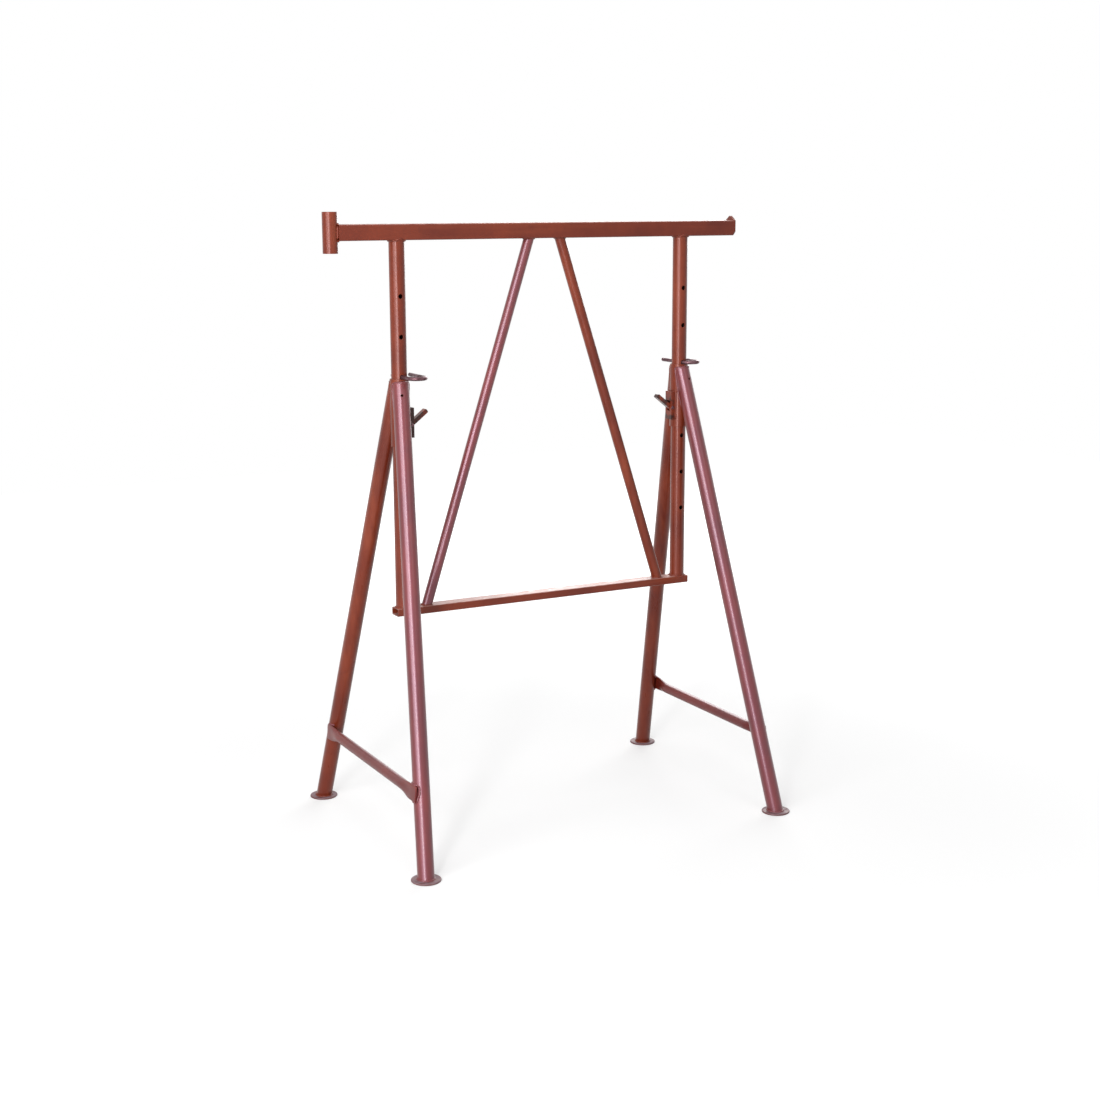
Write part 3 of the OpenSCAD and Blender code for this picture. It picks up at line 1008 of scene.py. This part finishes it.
class TRESTLE_OT_weld_stands(bpy.types.Operator):
    """Lay the weld beads of both stands"""

    bl_idname = "trestle.weld_stands"
    bl_label = "Weld stands"

    def execute(self, context):
        welds = context.scene.trestle_welds
        satin = weld_paint("stand_weld", context.scene.trestle_paint)
        # Lit copy of the weld paint, as painted highlight, for the welds on the front legs and ties
        highlight_paint = weld_paint("leg_weld", context.scene.trestle_gloss)
        for side in SIDES:
            stand = Stand(side, welds)
            seams = {}
            for way in WAYS:
                name = f"{side}_{way}"
                foot, head, radius = stand.leg(way)
                top, top_radii = stand.head_fill(way)
                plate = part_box(name + "_foot")[1].z
                seams[name + "_head_weld"] = [
                    (stand.saddle(way), welds.light_bead, False),
                    (top, top_radii, False),
                ]
                ring = level_seam(foot, head - foot, radius, plate)
                seams[name + "_foot_weld"] = [(ring, welds.light_bead, True)]
                seams[name + "_tie_weld"] = [(line, welds.bead, False) for line in stand.tie_lines(way)]
            lines = stand.bracket_lines()
            seams[side + "_bracket_weld"] = [(line, welds.light_bead, False) for line in lines]
            for name, lines in seams.items():
                # Welds on the front legs and ties take the lit copy, as painted highlight
                in_highlight = name.startswith(side + "_front") or name.endswith("_tie_weld")
                material = highlight_paint if in_highlight else satin
                weld(name, side + "_stand", material, lines, welds.ripple)
        return {"FINISHED"}


class TRESTLE_OT_set_stage(bpy.types.Operator):
    """Set the floor, the lamps, the white surround and the camera"""

    bl_idname = "trestle.set_stage"
    bl_label = "Set stage"

    def execute(self, context):
        stage = context.scene.trestle_stage
        self.floor(stage)
        self.surround(stage)
        for name, (place, size, setting) in LAMPS.items():
            self.lamp(name, place, size, getattr(stage, setting))
        self.camera(stage)
        context.scene.view_settings.view_transform = "Standard"
        return {"FINISHED"}

    def seen_share(self, tree):
        """Socket that is 1 for rays from the camera, reflections and glass, and 0 for light."""
        path = add_node(tree, "LightPath").outputs
        seen = path["Is Camera Ray"]
        for kind in ("Is Glossy Ray", "Is Transmission Ray"):
            seen = add_node(tree, "Math", {0: seen, 1: path[kind]}, operation="MAXIMUM").outputs[0]
        return seen

    def floor(self, stage):
        """Wide plain floor, lifted to white in the picture but for the trestle's shadow."""
        half = 6.0
        mesh = bmesh.new()
        corners = [(-half, -half, 0), (half, -half, 0), (half, half, 0), (-half, half, 0)]
        mesh.faces.new([mesh.verts.new(corner) for corner in corners])
        data = bpy.data.meshes.new("floor")
        mesh.to_mesh(data)
        mesh.free()
        data.materials.append(self.floor_material(stage))
        plane = bpy.data.objects.new("floor", data)
        bpy.context.scene.collection.objects.link(plane)
        plane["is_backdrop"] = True

    def floor_material(self, stage):
        """Matt grey with a glow in the picture, fainter near the trestle than far away."""
        material = bpy.data.materials.new("plain_floor")
        material.use_nodes = True
        tree = material.node_tree
        tree.nodes.clear()
        place = add_node(tree, "TexCoord").outputs["Object"]
        away = add_node(tree, "VectorMath", {0: place}, operation="LENGTH").outputs["Value"]
        limits = {
            "Value": away,
            "From Min": 0.9,
            "From Max": 4.0,
            "To Min": stage.near_lift,
            "To Max": stage.far_lift,
        }
        level = add_node(tree, "MapRange", limits, interpolation_type="SMOOTHSTEP").outputs["Result"]
        lift = add_node(tree, "Math", {0: self.seen_share(tree), 1: level}, operation="MULTIPLY").outputs[0]
        matt = add_node(tree, "BsdfDiffuse", {"Color": (*stage.floor, 1)}).outputs[0]
        glow = add_node(tree, "Emission", {"Strength": lift}).outputs[0]
        both = add_node(tree, "AddShader", {0: matt, 1: glow}).outputs[0]
        add_node(tree, "OutputMaterial", {"Surface": both})
        return material

    def surround(self, stage):
        """World that shows as white and lights the trestle softly from all round."""
        world = bpy.data.worlds.new("studio")
        bpy.context.scene.world = world
        world.use_nodes = True
        tree = world.node_tree
        tree.nodes.clear()
        limits = {"Value": self.seen_share(tree), "To Min": stage.sky, "To Max": 1.0}
        level = add_node(tree, "MapRange", limits).outputs["Result"]
        back = add_node(tree, "Background", {"Color": (1, 1, 1, 1), "Strength": level}).outputs[0]
        add_node(tree, "OutputWorld", {"Surface": back})

    def lamp(self, name, place, size, power):
        """Soft rectangular lamp aimed at the middle of the trestle, itself not seen by the camera."""
        data = bpy.data.lights.new(name, "AREA")
        data.shape = "RECTANGLE"
        data.size, data.size_y = size
        data.energy = power
        lamp = bpy.data.objects.new(name, data)
        lamp.location = place
        aim = (cad_box[0] + cad_box[1]) / 2 - Vector(place)
        lamp.rotation_euler = aim.to_track_quat("-Z", "Y").to_euler()
        lamp.visible_camera = False
        bpy.context.scene.collection.objects.link(lamp)

    def camera(self, stage):
        """Camera at the photograph's place and angle."""
        data = bpy.data.cameras.new("camera")
        data.lens = stage.lens
        data.sensor_width = 36
        data.clip_end = 200
        camera = bpy.data.objects.new("camera", data)
        turn = Matrix.Rotation(-stage.heading, 4, "Z")
        tilt = Matrix.Rotation(math.pi / 2 - stage.tilt, 4, "X")
        roll = Matrix.Rotation(stage.roll, 4, "Z")
        camera.matrix_world = Matrix.Translation(stage.eye) @ turn @ tilt @ roll
        bpy.context.scene.collection.objects.link(camera)
        bpy.context.scene.camera = camera


class TRESTLE_PT_looks(bpy.types.Panel):
    """Steps that dress the trestle, in order"""

    bl_label = "Trestle looks"
    bl_idname = "TRESTLE_PT_looks"
    bl_space_type = "VIEW_3D"
    bl_region_type = "UI"
    bl_category = "Trestle"

    def draw(self, context):
        for step in STEPS:
            self.layout.operator(step.bl_idname)


STEPS = (
    TRESTLE_OT_paint_frame,
    TRESTLE_OT_paint_stands,
    TRESTLE_OT_finish_steel,
    TRESTLE_OT_dust_feet,
    TRESTLE_OT_press_ties,
    TRESTLE_OT_weld_frame,
    TRESTLE_OT_weld_stands,
    TRESTLE_OT_set_stage,
)
GROUPS = {
    "trestle_paint": TRESTLE_PG_paint,
    "trestle_gloss": TRESTLE_PG_highlight_copy,
    "trestle_metal": TRESTLE_PG_metal,
    "trestle_welds": TRESTLE_PG_welds,
    "trestle_ties": TRESTLE_PG_ties,
    "trestle_stage": TRESTLE_PG_stage,
}
CLASSES = (*GROUPS.values(), *STEPS, TRESTLE_PT_looks)


def register():
    for item in CLASSES:
        bpy.utils.register_class(item)
    for name, group in GROUPS.items():
        setattr(bpy.types.Scene, name, PointerProperty(type=group))


def unregister():
    for name in GROUPS:
        delattr(bpy.types.Scene, name)
    for item in reversed(CLASSES):
        bpy.utils.unregister_class(item)


def main():
    register()
    bpy.ops.trestle.paint_frame()
    bpy.ops.trestle.paint_stands()
    bpy.ops.trestle.finish_steel()
    bpy.ops.trestle.dust_feet()
    bpy.ops.trestle.press_ties()
    bpy.ops.trestle.weld_frame()
    bpy.ops.trestle.weld_stands()
    bpy.ops.trestle.set_stage()
    boxes = {"cad": cad_box, "visual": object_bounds()}
    boxes = {name: [list(corner) for corner in box] for name, box in boxes.items()}


if __name__ == "__main__":
    main()
